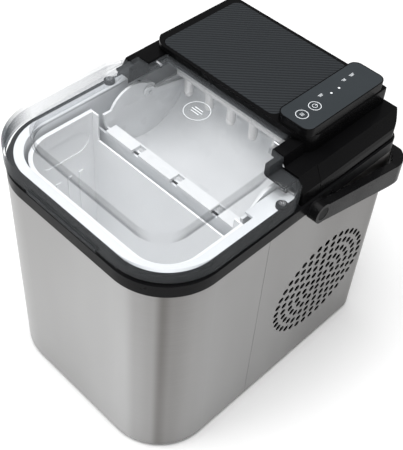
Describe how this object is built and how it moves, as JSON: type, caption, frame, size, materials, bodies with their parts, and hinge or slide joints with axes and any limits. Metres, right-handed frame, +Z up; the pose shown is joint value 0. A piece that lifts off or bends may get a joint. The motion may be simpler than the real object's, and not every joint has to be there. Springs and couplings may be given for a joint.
{
  "type": "ice maker",
  "caption": "Countertop bullet-ice maker: brushed steel body, black top cover, clear hinged lid, folding carry handle, round fan grille",
  "frame": {"origin": "under the middle of the whole machine, on the plane the feet stand on", "axes": "X is the machine's right seen from the front, Y runs front to back, Z is up"},
  "size_m": [0.242, 0.3076, 0.29],
  "materials": {
    "steel": "fine vertical brushing",
    "black_gloss": "glossy moulded",
    "black_matt": "fine grain",
    "charcoal": "fine grain, ribbed panel",
    "film": "satin film",
    "clear": "clear moulded, faintly smoky",
    "white": "semi-gloss food plastic",
    "lights": "diffusing",
    "rubber": "moulded",
    "plug_rubber": "moulded",
    "screw": "bright zinc",
    "foam": "bead foam",
    "nickel": "bright nickel plate",
    "fin": "mill finish",
    "copper": "drawn tube",
    "comp_paint": "black enamel",
    "board": "soldered board",
    "motor": "plated case"
  },
  "bodies": {
    "machine": {"base_pan": "black_matt", "feet": "rubber", "front_shell": "steel", "rear_shell": "steel", "top_rim": "black_gloss", "rear_cover": "black_gloss", "deck_panel": "charcoal", "control_pod": "black_gloss", "pod_film": "film", "indicator_lights": "lights", "control_board": "board", "handle_pivots": "black_matt", "rim_screws": "screw", "base_screws": "screw", "power_inlet": "black_matt", "drain_socket": "black_matt", "inner_liner": "white", "tray_pins": "screw", "tray_motor": "motor", "evaporator": "nickel", "evaporator_fingers": "nickel", "ice_sensors": "black_gloss", "water_pump": "black_matt", "pump_hose": "plug_rubber", "tank_insulation": "foam", "compressor": "comp_paint", "compressor_grommets": "rubber", "condenser": "fin", "fan_shroud": "black_matt", "fan_motor": "motor", "filter_drier": "copper", "refrigerant_lines": "copper", "power_board": "board"},
    "lid_body": {"lid": "clear", "lid_pins": "screw"},
    "handle_body": {"handle": "black_gloss"},
    "power_key": {"power_button": "film"},
    "set_key": {"set_button": "film"},
    "basket_body": {"ice_basket": "white"},
    "tray_body": {"water_tray": "white"},
    "rake_body": {"ice_rake": "white"},
    "fan_body": {"fan": "black_matt"},
    "plug_body": {"drain_plug": "plug_rubber"}
  },
  "joints": [
    {"name": "lid_hinge", "type": "hinge", "parent": "machine", "child": "lid_body", "pos_m": [0, 0.01225, 0.271], "axis": [-1, 0, 0], "range_deg": [0, 98]},
    {"name": "handle_swing", "type": "hinge", "parent": "machine", "child": "handle_body", "pos_m": [0, 0.01825, 0.227], "axis": [1, 0, 0], "range_deg": [0, 90]},
    {"name": "power_press", "type": "slide", "parent": "machine", "child": "power_key", "axis": [0, 0, -1], "range_m": [0, 0.0006], "stiffness_N_per_m": 900, "springref_m": -0.0006},
    {"name": "set_press", "type": "slide", "parent": "machine", "child": "set_key", "axis": [0, 0, -1], "range_m": [0, 0.0006], "stiffness_N_per_m": 900, "springref_m": -0.0006},
    {"name": "basket_lift", "type": "slide", "parent": "machine", "child": "basket_body", "axis": [0, 0, 1], "range_m": [0, 0.018]},
    {"name": "tray_tilt", "type": "hinge", "parent": "machine", "child": "tray_body", "pos_m": [0, 0.01225, 0.233], "axis": [-1, 0, 0], "range_deg": [0, 24]},
    {"name": "rake_sweep", "type": "hinge", "parent": "machine", "child": "rake_body", "pos_m": [0, 0.01225, 0.233], "axis": [-1, 0, 0], "range_deg": [0, 140]},
    {"name": "fan_spin", "type": "hinge", "parent": "machine", "child": "fan_body", "pos_m": [0.089, 0.05425, 0.102], "axis": [1, 0, 0], "continuous": true},
    {"name": "plug_pull", "type": "slide", "parent": "machine", "child": "plug_body", "axis": [-1, 0, 0], "range_m": [0, 0.03]}
  ]
}
